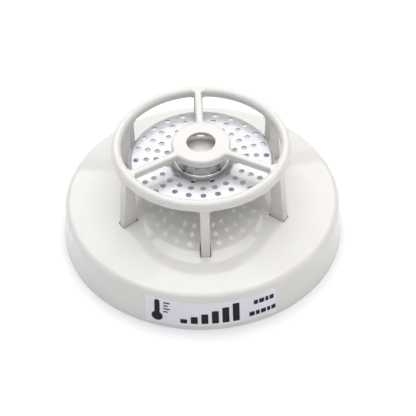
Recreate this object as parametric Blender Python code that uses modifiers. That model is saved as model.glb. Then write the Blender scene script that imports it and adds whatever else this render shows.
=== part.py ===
"""Spot-type fixed-temperature heat detector head, shown sensing side up.

Frame: origin at the centre of the back rim's plane, +Z along the axis towards the
sensing side, -Y towards the rating label. Dimensions are in millimetres and are
turned into metres by MM where the meshes are made.
"""
import math

import bmesh
import bpy
from mathutils import Matrix, Vector

MM = 0.001

# Driving dimensions, mm
COVER_R = 50.0              # back rim, the detector's largest radius
SKIRT_DRAFT = 0.087         # how far the skirt leans in for each mm it rises
SKIRT_TOP_Z = 13.0          # height of the centre of the skirt's top rounding
SKIRT_ROUND_R = 2.5
CROWN_SLOPE = 0.178         # rise of the crown towards the axis, at the rounding
COVER_WALL = 2.1
CROWN_MOUTH_R = 9.2         # hole in the crown that the thermostat stands in
CROWN_MOUTH_Z = 29.6

GUARD_TOP_Z = 40.7
RING_R = 29.3               # centre of the ring's section
RING_HALF_W = 1.8
RING_BOTTOM_Z = 37.3
LEG_COUNT = 6
LEG_W = 3.2
LEG_FOOT_Z = 9.3
SPOKE_W = 2.6
HUB_R = 10.25
HUB_HOLE_R = 4.9
LEG_SLOT_GAP = 0.3

PLATE_R = 25.33
PLATE_Z = 33.38             # top face of the collector plate, half way out
PLATE_T = 0.45
PLATE_BORE_R = 7.75
PERF_R = 1.0                # radius of a perforation
PERF_ROWS = ((22.65, 1), (19.13, 1), (15.68, 1), (12.13, 2))    # row radius, every n-th line
PERF_LINES = 24

CAP_R = 8.8
CAP_TOP_Z = 38.0
CAP_WELL_R = 6.4
CAP_WELL_Z = 36.6
CAP_T = 0.5

STEM_R = 8.6                # thermostat body
STEM_BORE_R = 6.6
STEM_TOP_Z = 31.55

CHASSIS_R = 46.4
CHASSIS_Z = (6.5, 9.0)      # back and front face of the chassis plate
FIXED_X = 3.9               # fixed contact's post
PIVOT_X = -4.4              # contact arm's post, where the arm flexes
ARM_Z = (18.95, 19.2)
PIN_TRAVEL = 0.6

TERMINAL_AZIMUTHS = (60.0, 120.0, 240.0, 300.0)
TERMINAL_R = 21.0           # terminal screws
TERMINAL_W = 7.0
COVER_SCREW_R = 41.5
COVER_SCREW_AZIMUTHS = (0.0, 120.0, 240.0)
GUARD_SCREW_R = 30.4
GUARD_SCREW_AZIMUTHS = (30.0, 150.0, 270.0)

LABEL_AZIMUTH = -88.7
LABEL_ARC = 53.2            # degrees round the skirt
LABEL_Z = (1.3, 13.0)
LABEL_T = 0.15
LABEL_LIFT = 0.06           # glue line between the skirt and the label


# ---------------------------------------------------------------- helpers

def new_collection(name):
    collection = bpy.data.collections.new(name)
    bpy.context.scene.collection.children.link(collection)
    return collection


def clear_scene():
    for obj in list(bpy.data.objects):
        bpy.data.objects.remove(obj, do_unlink=True)


def make_material(name, colour, roughness, metallic=0.0):
    mat = bpy.data.materials.new(name)
    mat.use_nodes = True
    shader = mat.node_tree.nodes["Principled BSDF"]
    shader.inputs["Base Color"].default_value = (*colour, 1.0)
    shader.inputs["Roughness"].default_value = roughness
    shader.inputs["Metallic"].default_value = metallic
    return mat


def add_part(name, mesh, mat):
    obj = bpy.data.objects.new(name, mesh)
    mesh.materials.append(mat)
    PARTS.objects.link(obj)
    return obj


def add_cutter(name, mesh):
    obj = bpy.data.objects.new(name, mesh)
    CUTTERS.objects.link(obj)
    obj.hide_render = True
    obj.display_type = 'WIRE'
    return obj


def boolean(obj, other, operation):
    mod = obj.modifiers.new(operation.title(), 'BOOLEAN')
    mod.object = other
    mod.operation = operation
    mod.solver = 'EXACT'
    return mod


def bevel(obj, width, segments=1, angle=40.0):
    mod = obj.modifiers.new("Bevel", 'BEVEL')
    mod.width = width * MM
    mod.segments = segments
    mod.limit_method = 'ANGLE'
    mod.angle_limit = math.radians(angle)
    return mod


def shade(obj, angle=35.0):
    obj.data.shade_smooth()
    obj.data.set_sharp_from_angle(angle=math.radians(angle))


def arc(centre_r, centre_z, radius, start, end, count):
    """Points of an arc in a turned profile, angles in degrees from +R towards +Z."""
    points = []
    for i in range(count + 1):
        a = math.radians(start + (end - start) * i / count)
        points.append((centre_r + radius * math.cos(a), centre_z + radius * math.sin(a)))
    return points


def turned_mesh(name, profile, steps=24):
    """Mesh of a profile turned round the Z axis, as a Screw modifier makes it.

    A profile that starts and ends on the axis is left open, any other is closed.
    """
    mesh = bpy.data.meshes.new(name)
    bm = bmesh.new()
    verts = [bm.verts.new((r * MM, 0.0, z * MM)) for r, z in profile]
    for a, b in zip(verts, verts[1:]):
        bm.edges.new((a, b))
    if profile[0][0] > 0.0:
        bm.edges.new((verts[-1], verts[0]))
    bm.to_mesh(mesh)
    bm.free()
    guide = bpy.data.objects.new(name + "_profile", mesh)
    bpy.context.scene.collection.objects.link(guide)
    screw = guide.modifiers.new("Turn", 'SCREW')
    screw.axis = 'Z'
    screw.steps = steps
    screw.render_steps = steps
    screw.use_merge_vertices = True
    screw.merge_threshold = 0.00001
    depsgraph = bpy.context.evaluated_depsgraph_get()
    result = bpy.data.meshes.new_from_object(guide.evaluated_get(depsgraph))
    bpy.data.objects.remove(guide, do_unlink=True)
    bpy.data.meshes.remove(mesh)
    result.name = name
    return result


def outline_mesh(name, outline, low, high):
    """Mesh of a flat outline, in the XY plane, that stands from Z low to Z high."""
    curve = bpy.data.curves.new(name, 'CURVE')
    curve.dimensions = '2D'
    curve.fill_mode = 'BOTH'
    curve.extrude = (high - low) / 2 * MM
    spline = curve.splines.new('POLY')
    spline.points.add(len(outline) - 1)
    for point, (x, y) in zip(spline.points, outline):
        point.co = (x * MM, y * MM, 0.0, 1.0)
    spline.use_cyclic_u = True
    guide = bpy.data.objects.new(name, curve)
    bpy.context.scene.collection.objects.link(guide)
    depsgraph = bpy.context.evaluated_depsgraph_get()
    mesh = bpy.data.meshes.new_from_object(guide.evaluated_get(depsgraph))
    bpy.data.objects.remove(guide, do_unlink=True)
    bm = bmesh.new()
    bm.from_mesh(mesh)
    bmesh.ops.remove_doubles(bm, verts=bm.verts, dist=0.000001)
    bmesh.ops.translate(bm, verts=bm.verts, vec=(0.0, 0.0, (low + high) / 2 * MM))
    bmesh.ops.recalc_face_normals(bm, faces=bm.faces)
    bm.to_mesh(mesh)
    bm.free()
    return mesh


def rod_mesh(name, spots, segments=16):
    """Mesh of upright cylinders, one for each (x, y, radius, low z, high z) in spots."""
    mesh = bpy.data.meshes.new(name)
    bm = bmesh.new()
    for x, y, radius, low, high in spots:
        place = Matrix.Translation(Vector((x, y, (low + high) / 2)) * MM)
        bmesh.ops.create_cone(bm, cap_ends=True, segments=segments, radius1=radius * MM,
                              radius2=radius * MM, depth=(high - low) * MM, matrix=place)
    bm.to_mesh(mesh)
    bm.free()
    return mesh


def merged(name, meshes):
    """One mesh that holds every given mesh, each moved by its own matrix."""
    mesh = bpy.data.meshes.new(name)
    bm = bmesh.new()
    for source, matrix in meshes:
        piece = bmesh.new()
        piece.from_mesh(source)
        piece.transform(matrix)
        piece.to_mesh(source)
        piece.free()
        bm.from_mesh(source)
        bpy.data.meshes.remove(source)
    bm.to_mesh(mesh)
    bm.free()
    return mesh


def spin(azimuth):
    return Matrix.Rotation(math.radians(azimuth), 4, 'Z')


def upright(azimuth):
    """Turns an outline drawn in XY into the radius-height plane at an azimuth."""
    return spin(azimuth) @ Matrix.Rotation(math.radians(90.0), 4, 'X')


def polar(radius, azimuth):
    a = math.radians(azimuth)
    return radius * math.cos(a), radius * math.sin(a)


# ---------------------------------------------------------------- cover

def skirt_radius(z):
    return COVER_R - SKIRT_DRAFT * z


def crown_start():
    """Radius and height where the skirt's rounding runs into the crown."""
    draft = math.atan(SKIRT_DRAFT)
    slope = math.atan(CROWN_SLOPE)
    centre = skirt_radius(SKIRT_TOP_Z) - SKIRT_ROUND_R / math.cos(draft)
    return centre, math.degrees(draft), 90.0 - math.degrees(slope)


def crown_height(radius):
    """The crown is a low cone that steepens a little towards the axis."""
    centre, _, end = crown_start()
    edge_r = centre + SKIRT_ROUND_R * math.cos(math.radians(end))
    edge_z = SKIRT_TOP_Z + SKIRT_ROUND_R * math.sin(math.radians(end))
    run = edge_r - radius
    return edge_z + CROWN_SLOPE * run + 0.0004 * run * run


def cover_profile():
    centre, start, end = crown_start()
    outer = arc(centre, SKIRT_TOP_Z, SKIRT_ROUND_R, end, start, 4)
    crown = [(r, crown_height(r)) for r in (12.2, 16.0, 22.0, 29.0, 38.0)]
    mouth = [(CROWN_MOUTH_R, CROWN_MOUTH_Z), (CROWN_MOUTH_R + 1.0, CROWN_MOUTH_Z),
             (CROWN_MOUTH_R + 1.5, 23.4), (CROWN_MOUTH_R + 1.9, 22.6)]
    lining = [(COVER_R - COVER_WALL - 0.3, 0.0)]
    lining += arc(centre, SKIRT_TOP_Z, SKIRT_ROUND_R - COVER_WALL, start, end, 2)
    lining += [(r - 0.3, crown_height(r) - COVER_WALL) for r in (38.0, 29.0, 20.0)]
    lining.append((CROWN_MOUTH_R, crown_height(11.5) - COVER_WALL))
    return mouth + crown + outer + [(COVER_R, 0.0)] + lining


def make_cover(mat):
    cover = add_part("cover", turned_mesh("cover", cover_profile(), 48), mat)
    posts = [(*polar(COVER_SCREW_R, a), 2.8, LEG_FOOT_Z, 15.2) for a in COVER_SCREW_AZIMUTHS]
    boolean(cover, add_cutter("cover_posts", rod_mesh("cover_posts", posts)), 'UNION')
    pilots = [(*polar(COVER_SCREW_R, a), 1.1, 8.0, 14.3) for a in COVER_SCREW_AZIMUTHS]
    boolean(cover, add_cutter("cover_pilots", rod_mesh("cover_pilots", pilots, 10)), 'DIFFERENCE')
    gap = LEG_SLOT_GAP
    slots = []
    for azimuth in leg_azimuths():
        inner, outer = leg_radii(17.0)
        half = LEG_W / 2 + gap
        outline = [(inner - gap, -half), (outer + gap, -half), (outer + gap, half), (inner - gap, half)]
        slots.append((outline_mesh("slot", outline, 12.0, 24.0), spin(azimuth)))
    boolean(cover, add_cutter("leg_slots", merged("leg_slots", slots)), 'DIFFERENCE')
    shade(cover)


# ---------------------------------------------------------------- guard

def leg_azimuths():
    return [30.0 + 360.0 / LEG_COUNT * i for i in range(LEG_COUNT)]


def leg_radii(z):
    """Inner and outer radius of a guard leg at a height: it splays as it goes down."""
    drop = RING_BOTTOM_Z - z
    return 27.55 - 0.008 * drop, 31.1 + 0.094 * drop


def make_guard(mat):
    round_z = GUARD_TOP_Z - RING_HALF_W
    section = arc(RING_R, round_z, RING_HALF_W, 180.0, 0.0, 6)
    section += [(RING_R + RING_HALF_W + 0.2, RING_BOTTOM_Z + 0.4), (RING_R + RING_HALF_W - 0.1, RING_BOTTOM_Z),
                (RING_R - RING_HALF_W + 0.4, RING_BOTTOM_Z), (RING_R - RING_HALF_W, RING_BOTTOM_Z + 0.4)]
    guard = add_part("cage_guard", turned_mesh("cage_guard", section, 48), mat)

    legs = []
    for azimuth in leg_azimuths():
        top = RING_BOTTOM_Z + 0.9
        outline = [(leg_radii(LEG_FOOT_Z)[0], LEG_FOOT_Z), (leg_radii(LEG_FOOT_Z)[1], LEG_FOOT_Z),
                   (leg_radii(RING_BOTTOM_Z)[1], RING_BOTTOM_Z), (leg_radii(RING_BOTTOM_Z)[1] - 0.1, top),
                   (leg_radii(RING_BOTTOM_Z)[0] + 0.1, top), (leg_radii(RING_BOTTOM_Z)[0], RING_BOTTOM_Z)]
        legs.append((outline_mesh("leg", outline, -LEG_W / 2, LEG_W / 2), upright(azimuth)))
    boolean(guard, add_cutter("guard_legs", merged("guard_legs", legs)), 'UNION')

    spokes = []
    for azimuth in (90.0, 210.0, 330.0):
        low = GUARD_TOP_Z - 3.0
        high = GUARD_TOP_Z - 0.15
        chamfer = 0.35
        half = SPOKE_W / 2
        outline = [(-half, low), (half, low), (half, high - chamfer), (half - chamfer, high),
                   (chamfer - half, high), (-half, high - chamfer)]
        bar = outline_mesh("spoke", outline, 9.4, RING_R)
        stand = Matrix(((0, 0, 1, 0), (1, 0, 0, 0), (0, 1, 0, 0), (0, 0, 0, 1)))
        spokes.append((bar, spin(azimuth) @ stand))
    boolean(guard, add_cutter("guard_spokes", merged("guard_spokes", spokes)), 'UNION')

    rim = HUB_R - 1.3
    hub = arc(rim, GUARD_TOP_Z - 1.3, 1.3, 90.0, 0.0, 4)
    hub += [(HUB_R, 37.5), (HUB_R - 0.15, 37.3), (9.6, 37.3), (9.6, 39.4), (9.2, 39.8),
            (HUB_HOLE_R, 39.8), (HUB_HOLE_R, GUARD_TOP_Z - 0.2), (HUB_HOLE_R + 0.2, GUARD_TOP_Z)]
    boolean(guard, add_cutter("guard_hub", turned_mesh("guard_hub", hub, 30)), 'UNION')

    pilots = [(*polar(GUARD_SCREW_R, a), 1.0, 8.0, 16.0) for a in GUARD_SCREW_AZIMUTHS]
    boolean(guard, add_cutter("guard_pilots", rod_mesh("guard_pilots", pilots, 10)), 'DIFFERENCE')
    shade(guard)


# ---------------------------------------------------------------- sensor

def plate_top():
    """Collector plate's upper face, from its bore to its rolled rim."""
    dip = [(PLATE_BORE_R, PLATE_Z - 1.05), (9.9, PLATE_Z - 1.0), (10.5, PLATE_Z - 0.5), (11.0, PLATE_Z - 0.1)]
    field = [(14.0, PLATE_Z), (20.9, PLATE_Z - 0.08), (24.2, PLATE_Z - 0.5)]
    rim = [(25.0, PLATE_Z - 0.85), (PLATE_R, PLATE_Z - 1.3)]
    return dip + field + rim


def make_collector_plate(mat):
    top = plate_top()
    under = [(r - 0.25 if r > 24.0 else r, z - PLATE_T) for r, z in top]
    disc = turned_mesh("collector_plate", top + under[::-1], PERF_LINES)
    half_step = 360.0 / PERF_LINES / 2
    plate = add_part("collector_plate", merged("collector_plate", [(disc, spin(half_step))]), mat)
    holes = []
    for radius, every in PERF_ROWS:
        for line in range(0, PERF_LINES, every):
            azimuth = 90.0 + 360.0 / PERF_LINES * (line + (every - 1))
            holes.append((*polar(radius, azimuth), PERF_R, PLATE_Z - 3.0, PLATE_Z + 2.0))
    boolean(plate, add_cutter("perforations", rod_mesh("perforations", holes, 8)), 'DIFFERENCE')
    shade(plate)


def make_clamp_collar(mat):
    profile = arc(CAP_R + 0.45, 33.2, 0.35, 90.0, -60.0, 5)
    profile += [(CAP_R + 0.5, 32.55), (CAP_R + 0.15, 32.55), (CAP_R + 0.15, 33.55)]
    collar = add_part("clamp_collar", turned_mesh("clamp_collar", profile), mat)
    shade(collar)


def make_sensor_cap(mat):
    shoulder = 0.8
    rim_r = CAP_WELL_R + 0.9
    outer = [(rim_r - 0.3, CAP_TOP_Z - 0.35), (rim_r, CAP_TOP_Z)]
    outer += arc(CAP_R - shoulder, CAP_TOP_Z - shoulder, shoulder, 90.0, 0.0, 4)
    outer.append((CAP_R, 32.6))
    inner_r = CAP_R - CAP_T
    lining = [(inner_r, 32.6), (inner_r, CAP_TOP_Z - shoulder), (inner_r - 0.3, CAP_TOP_Z - CAP_T),
              (rim_r + 0.25, CAP_TOP_Z - CAP_T)]
    well = [(0.0, CAP_WELL_Z), (CAP_WELL_R - 0.2, CAP_WELL_Z), (CAP_WELL_R + 0.05, CAP_WELL_Z + 0.15)]
    under = [(CAP_WELL_R + 0.1, CAP_WELL_Z - CAP_T), (0.0, CAP_WELL_Z - CAP_T)]
    cap = add_part("sensor_cap", turned_mesh("sensor_cap", well + outer + lining + under), mat)
    shade(cap)


def make_bimetal_disc(mat):
    radius = 7.2
    rim_z = 33.0
    crown = 0.7
    thickness = 0.35
    top = []
    for i in range(6):
        r = radius * i / 5
        top.append((r, rim_z + thickness + crown * (1.0 - (r / radius) ** 2)))
    under = [(r, z - thickness) for r, z in top]
    disc = add_part("bimetal_disc", turned_mesh("bimetal_disc", top + under[::-1]), mat)
    shade(disc)


def make_disc_seat(mat):
    profile = [(1.2, 31.95), (6.4, 31.95), (6.4, 32.85), (7.4, 32.85), (7.4, 31.85),
               (6.3, 31.85), (6.3, 28.9), (1.2, 28.9)]
    shade(add_part("disc_seat", turned_mesh("disc_seat", profile), mat))


def make_transfer_pin(mat):
    top, foot = 33.55, ARM_Z[1] + 0.2
    profile = [(0.0, top), (0.5, top), (0.95, top - 0.4), (0.95, foot + 0.4), (0.5, foot), (0.0, foot)]
    shade(add_part("transfer_pin", turned_mesh("transfer_pin", profile, 16), mat))


def make_thermostat_body(mat):
    flange = STEM_R + 0.8
    low = CHASSIS_Z[1] + 0.3
    profile = [(6.6, STEM_TOP_Z), (flange, STEM_TOP_Z), (flange, STEM_TOP_Z - 1.1), (STEM_R, STEM_TOP_Z - 1.5),
               (STEM_R, low), (STEM_BORE_R, low), (STEM_BORE_R, 24.5), (1.3, 25.2), (1.3, 28.6), (6.6, 28.6)]
    shade(add_part("thermostat_body", turned_mesh("thermostat_body", profile), mat))


# ---------------------------------------------------------------- switch

def make_switch_base(mat):
    low = CHASSIS_Z[1] + 0.3
    profile = [(0.0, 13.6), (5.8, 13.6), (6.2, 13.2), (6.2, low), (0.0, low)]
    base = add_part("switch_base", turned_mesh("switch_base", profile), mat)
    holes = [(x, 0.0, 1.2, low - 1.0, 15.0) for x in (FIXED_X, PIVOT_X)]
    boolean(base, add_cutter("post_holes", rod_mesh("post_holes", holes)), 'DIFFERENCE')
    shade(base)


def post_profile(shoulder_top, bore):
    foot = 4.95
    seat = 13.8
    top = [(0.0, shoulder_top - bore), (0.7, shoulder_top - bore), (0.7, shoulder_top)] if bore else [(0.0, shoulder_top)]
    return top + [(1.4, shoulder_top), (1.4, seat), (1.0, seat), (1.0, foot + 0.3), (0.7, foot), (0.0, foot)]


def make_switch(brass, silver, bronze):
    for name, x, top, bore in (("arm_post", PIVOT_X, 18.7, 2.0), ("fixed_post", FIXED_X, 16.0, 0.0)):
        post = add_part(name, turned_mesh(name, post_profile(top, bore), 16), brass)
        post.location.x = x * MM
        shade(post)

    rivet = add_part("arm_rivet", turned_mesh("arm_rivet", [
        (0.0, 20.1), (0.8, 20.0), (1.25, 19.6), (1.25, 19.42), (0.5, 19.42), (0.5, 17.0), (0.0, 17.0)], 16), brass)
    rivet.location.x = PIVOT_X * MM
    shade(rivet)

    half = 1.6
    arm = [(PIVOT_X - 1.6, -half), (0.6, -half), (FIXED_X + 0.9, -0.9), (FIXED_X + 1.2, 0.0),
           (FIXED_X + 0.9, 0.9), (0.6, half), (PIVOT_X - 1.6, half)]
    arm = add_part("contact_arm", outline_mesh("contact_arm", arm, *ARM_Z), bronze)
    hole = [(PIVOT_X, 0.0, 0.75, ARM_Z[0] - 1.0, ARM_Z[1] + 1.0)]
    boolean(arm, add_cutter("arm_hole", rod_mesh("arm_hole", hole)), 'DIFFERENCE')

    moving = [(0.0, 18.82), (1.0, 18.82), (1.0, 18.3), (0.6, 18.05), (0.0, 18.0)]
    fixed = [(0.0, 16.6), (0.6, 16.55), (1.15, 16.35), (1.15, 16.12), (0.0, 16.12)]
    for name, profile in (("moving_contact", moving), ("fixed_contact", fixed)):
        contact = add_part(name, turned_mesh(name, profile, 16), silver)
        contact.location.x = FIXED_X * MM
        shade(contact)


# ---------------------------------------------------------------- chassis and terminals

def make_chassis(mat):
    back, front = CHASSIS_Z
    lip = CHASSIS_R - 1.6
    profile = [(0.0, front), (CHASSIS_R - 0.5, front), (CHASSIS_R, front - 0.5), (CHASSIS_R, 1.2),
               (lip, 1.2), (lip, back), (0.0, back)]
    chassis = add_part("chassis", turned_mesh("chassis", profile, 48), mat)
    bosses = [(*polar(TERMINAL_R, a), 3.0, back + 1.0, 14.0) for a in TERMINAL_AZIMUTHS]
    boolean(chassis, add_cutter("terminal_bosses", rod_mesh("terminal_bosses", bosses)), 'UNION')
    holes = [(*polar(TERMINAL_R, a), 1.15, back - 1.0, 13.0) for a in TERMINAL_AZIMUTHS]
    holes += [(*polar(COVER_SCREW_R, a), 1.2, back - 1.0, front + 1.0) for a in COVER_SCREW_AZIMUTHS]
    holes += [(*polar(GUARD_SCREW_R, a), 1.2, back - 1.0, front + 1.0) for a in GUARD_SCREW_AZIMUTHS]
    holes += [(x, 0.0, 1.3, back - 1.0, front + 1.0) for x in (FIXED_X, PIVOT_X)]
    boolean(chassis, add_cutter("chassis_holes", rod_mesh("chassis_holes", holes, 12)), 'DIFFERENCE')
    shade(chassis)


def make_bus_bars(mat):
    """Two flat vee strips, each joining one contact post to two terminals."""
    low, high = CHASSIS_Z[0] - 1.0, CHASSIS_Z[0] - 0.3
    width = 5.0
    for name, post_x, side in (("bus_bar_a", PIVOT_X, -1.0), ("bus_bar_b", FIXED_X, 1.0)):
        end = Vector(polar(TERMINAL_R, 60.0 if side > 0 else 120.0))
        start = Vector((post_x, 0.0))
        along = (end - start).normalized()
        across = Vector((along.y, -along.x)) * width / 2
        tip = end + along * width / 2
        edge = width / 2 / abs(along.y)
        upper = [tuple(tip + across), tuple(tip - across)]
        half = [(post_x + edge, 0.0), *upper, (post_x - edge, 0.0)]
        lower = [(x, -y) for x, y in upper[::-1]]
        strip = add_part(name, outline_mesh(name, half + lower, low, high), mat)
        holes = [(post_x, 0.0, 1.2, low - 1.0, high + 1.0)]
        holes += [(end.x, y, 1.15, low - 1.0, high + 1.0) for y in (end.y, -end.y)]
        cutter = add_cutter(name + "_holes", rod_mesh(name + "_holes", holes, 12))
        boolean(strip, cutter, 'DIFFERENCE')


def terminal_mesh():
    """Side outline of a twist-lock terminal: seat, step down, blade along the tangent."""
    seat_top = CHASSIS_Z[0] - 1.3
    blade_top = 2.9
    t = 0.8
    outline = [(-3.6, seat_top), (-3.6, seat_top - t), (3.4, seat_top - t), (4.6, blade_top - t),
               (12.0, blade_top - t), (13.2, blade_top - t + 0.5), (13.0, blade_top + 0.25), (11.9, blade_top),
               (5.2, blade_top), (4.0, seat_top)]
    return outline_mesh("terminal", outline, -TERMINAL_W / 2, TERMINAL_W / 2)


def make_terminals(mat):
    for i, azimuth in enumerate(TERMINAL_AZIMUTHS, 1):
        name = f"terminal_{i}"
        x, y = polar(TERMINAL_R, azimuth)
        place = Matrix.Translation(Vector((x, y, 0.0)) * MM) @ upright(azimuth + 90.0)
        terminal = add_part(name, merged(name, [(terminal_mesh(), place)]), mat)
        hole = add_cutter(name + "_hole", rod_mesh(name + "_hole", [(x, y, 1.5, 0.5, 6.0)], 12))
        boolean(terminal, hole, 'DIFFERENCE')


def make_screw(name, radius, azimuth, seat_z, head_r, shank_r, length, mat):
    """Pan-head screw that enters upwards, its head below seat_z, with a driver slot."""
    head = 1.4
    low = seat_z - head
    profile = [(0.0, seat_z + length), (shank_r - 0.3, seat_z + length), (shank_r, seat_z + length - 0.8),
               (shank_r, seat_z), (head_r, seat_z), (head_r, low + 0.5), (head_r - 0.6, low), (0.0, low)]
    x, y = polar(radius, azimuth)
    screw = add_part(name, turned_mesh(name, profile, 14), mat)
    screw.location = (x * MM, y * MM, 0.0)
    half = 0.25
    outline = [(-head_r - 1, -half), (head_r + 1, -half), (head_r + 1, half), (-head_r - 1, half)]
    turn = Matrix.Translation(Vector((x, y, 0.0)) * MM) @ spin(azimuth)
    slot = merged(name + "_slot", [(outline_mesh("slot", outline, low - 1.0, low + 0.6), turn)])
    boolean(screw, add_cutter(name + "_slot", slot), 'DIFFERENCE')
    shade(screw)


def make_screws(mat):
    back = CHASSIS_Z[0]
    for i, azimuth in enumerate(TERMINAL_AZIMUTHS, 1):
        make_screw(f"terminal_screw_{i}", TERMINAL_R, azimuth, back - 2.25, 2.6, 0.95, 7.8, mat)
    for i, azimuth in enumerate(GUARD_SCREW_AZIMUTHS, 1):
        make_screw(f"guard_screw_{i}", GUARD_SCREW_R, azimuth, back - 0.15, 2.1, 0.8, 9.2, mat)
    for i, azimuth in enumerate(COVER_SCREW_AZIMUTHS, 1):
        make_screw(f"cover_screw_{i}", COVER_SCREW_R, azimuth, back - 0.15, 2.1, 0.85, 7.4, mat)


# ---------------------------------------------------------------- label

def make_label(mat):
    """Thin band that follows the skirt: a flat grid bent round the cone, then thickened."""
    mesh = bpy.data.meshes.new("rating_label")
    bm = bmesh.new()
    bmesh.ops.create_grid(bm, x_segments=16, y_segments=1, size=0.5)
    low, high = LABEL_Z
    for vert in bm.verts:
        azimuth = math.radians(LABEL_AZIMUTH + vert.co.x * LABEL_ARC)
        z = low + (vert.co.y + 0.5) * (high - low)
        radius = skirt_radius(z) + LABEL_LIFT
        vert.co = Vector((radius * math.cos(azimuth), radius * math.sin(azimuth), z)) * MM
    bmesh.ops.recalc_face_normals(bm, faces=bm.faces)
    bm.to_mesh(mesh)
    bm.free()
    label = add_part("rating_label", mesh, mat)
    solid = label.modifiers.new("Thickness", 'SOLIDIFY')
    solid.thickness = LABEL_T * MM
    solid.offset = 1.0
    shade(label)


clear_scene()
PARTS = new_collection("heat_detector_head")
CUTTERS = new_collection("cutters")

white_plastic = make_material("white_plastic", (0.83, 0.81, 0.78), 0.2)
chassis_plastic = make_material("chassis_plastic", (0.72, 0.71, 0.68), 0.5)
phenolic = make_material("phenolic", (0.055, 0.045, 0.04), 0.45)
ceramic = make_material("ceramic", (0.75, 0.71, 0.64), 0.5)
aluminium = make_material("aluminium", (0.8, 0.8, 0.83), 0.3, 1.0)
nickel_plate = make_material("nickel_plate", (0.75, 0.74, 0.72), 0.15, 1.0)
bimetal = make_material("bimetal", (0.55, 0.45, 0.36), 0.3, 1.0)
brass = make_material("brass", (0.75, 0.58, 0.28), 0.3, 1.0)
silver = make_material("silver", (0.85, 0.84, 0.82), 0.3, 1.0)
bronze = make_material("bronze", (0.72, 0.5, 0.3), 0.35, 1.0)
steel = make_material("zinc_steel", (0.6, 0.6, 0.6), 0.35, 1.0)
label_film = make_material("label_film", (0.6, 0.59, 0.66), 0.35)

make_cover(white_plastic)
make_guard(white_plastic)
make_label(label_film)
make_collector_plate(aluminium)
make_clamp_collar(nickel_plate)
make_sensor_cap(nickel_plate)
make_bimetal_disc(bimetal)
make_disc_seat(ceramic)
make_transfer_pin(ceramic)
make_thermostat_body(phenolic)
make_switch_base(phenolic)
make_switch(brass, silver, bronze)
make_chassis(chassis_plastic)
make_bus_bars(brass)
make_terminals(nickel_plate)
make_screws(steel)
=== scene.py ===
"""Looks of the heat detector head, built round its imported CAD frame.

Sizes are in millimetres, in the frame's own axes, and MM turns them into metres.
"""
import math

import bmesh
import bpy
import numpy as np
from mathutils import Matrix, Vector
from mathutils.geometry import delaunay_2d_cdt


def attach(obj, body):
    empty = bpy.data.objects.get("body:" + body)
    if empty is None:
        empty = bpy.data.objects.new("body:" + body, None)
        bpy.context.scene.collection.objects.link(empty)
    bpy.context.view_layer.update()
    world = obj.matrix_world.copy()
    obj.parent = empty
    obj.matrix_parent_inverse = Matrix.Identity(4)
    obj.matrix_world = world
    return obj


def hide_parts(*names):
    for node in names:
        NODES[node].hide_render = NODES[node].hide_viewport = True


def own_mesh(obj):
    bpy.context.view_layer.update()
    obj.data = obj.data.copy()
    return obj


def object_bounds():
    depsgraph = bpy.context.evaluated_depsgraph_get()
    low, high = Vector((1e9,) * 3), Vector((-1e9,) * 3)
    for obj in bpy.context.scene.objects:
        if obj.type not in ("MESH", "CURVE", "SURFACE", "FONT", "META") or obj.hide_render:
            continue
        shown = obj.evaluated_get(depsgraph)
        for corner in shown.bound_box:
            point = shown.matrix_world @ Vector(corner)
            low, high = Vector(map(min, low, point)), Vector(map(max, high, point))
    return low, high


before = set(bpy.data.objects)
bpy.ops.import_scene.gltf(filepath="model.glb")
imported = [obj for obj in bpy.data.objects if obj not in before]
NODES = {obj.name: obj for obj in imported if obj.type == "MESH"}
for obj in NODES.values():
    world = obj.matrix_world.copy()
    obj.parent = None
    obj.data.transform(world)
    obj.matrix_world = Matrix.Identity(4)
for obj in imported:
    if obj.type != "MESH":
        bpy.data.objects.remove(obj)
CAD_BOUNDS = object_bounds()
MM = 0.001
HEAD = "head"


# ---------------------------------------------------------------- camera, lights and floor

CAMERA_PLACE = (-8.035, -357.355, 362.790)
CAMERA_TURN = (45.249, 0.806, -2.405)
CAMERA_LENS = 121.04


def direction(azimuth, elevation):
    a, e = math.radians(azimuth), math.radians(elevation)
    return Vector((math.cos(a) * math.cos(e), math.sin(a) * math.cos(e), math.sin(e)))


def make_camera():
    data = bpy.data.cameras.new("camera")
    data.lens = CAMERA_LENS
    data.clip_start = 0.01
    camera = bpy.data.objects.new("camera", data)
    bpy.context.scene.collection.objects.link(camera)
    camera.location = Vector(CAMERA_PLACE) * MM
    camera.rotation_euler = [math.radians(a) for a in CAMERA_TURN]
    bpy.context.scene.camera = camera


def softbox(name, place, size, radiance, colour=(1.0, 1.0, 1.0)):
    """A plain panel, its size in metres, which shines down its own Z axis."""
    data = bpy.data.lights.new(name, 'AREA')
    data.shape = 'RECTANGLE'
    data.size, data.size_y = size
    data.energy = math.pi * size[0] * size[1] * radiance
    data.color = colour
    light = bpy.data.objects.new(name, data)
    bpy.context.scene.collection.objects.link(light)
    light.location = place
    return light


def overhead(name, x, y, size, radiance):
    """A softbox hung level, one metre up."""
    softbox(name, Vector((x, y, 1.0)), size, radiance)


def low_box(name, azimuth, radiance, colour):
    """A softbox on a stand, just above the floor."""
    away = direction(azimuth, 18.0)
    light = softbox(name, Vector((0.0, 0.0, 0.02)) + away, (0.8, 0.4), radiance, colour)
    light.rotation_euler = (-away).to_track_quat('-Z', 'Y').to_euler()


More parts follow.
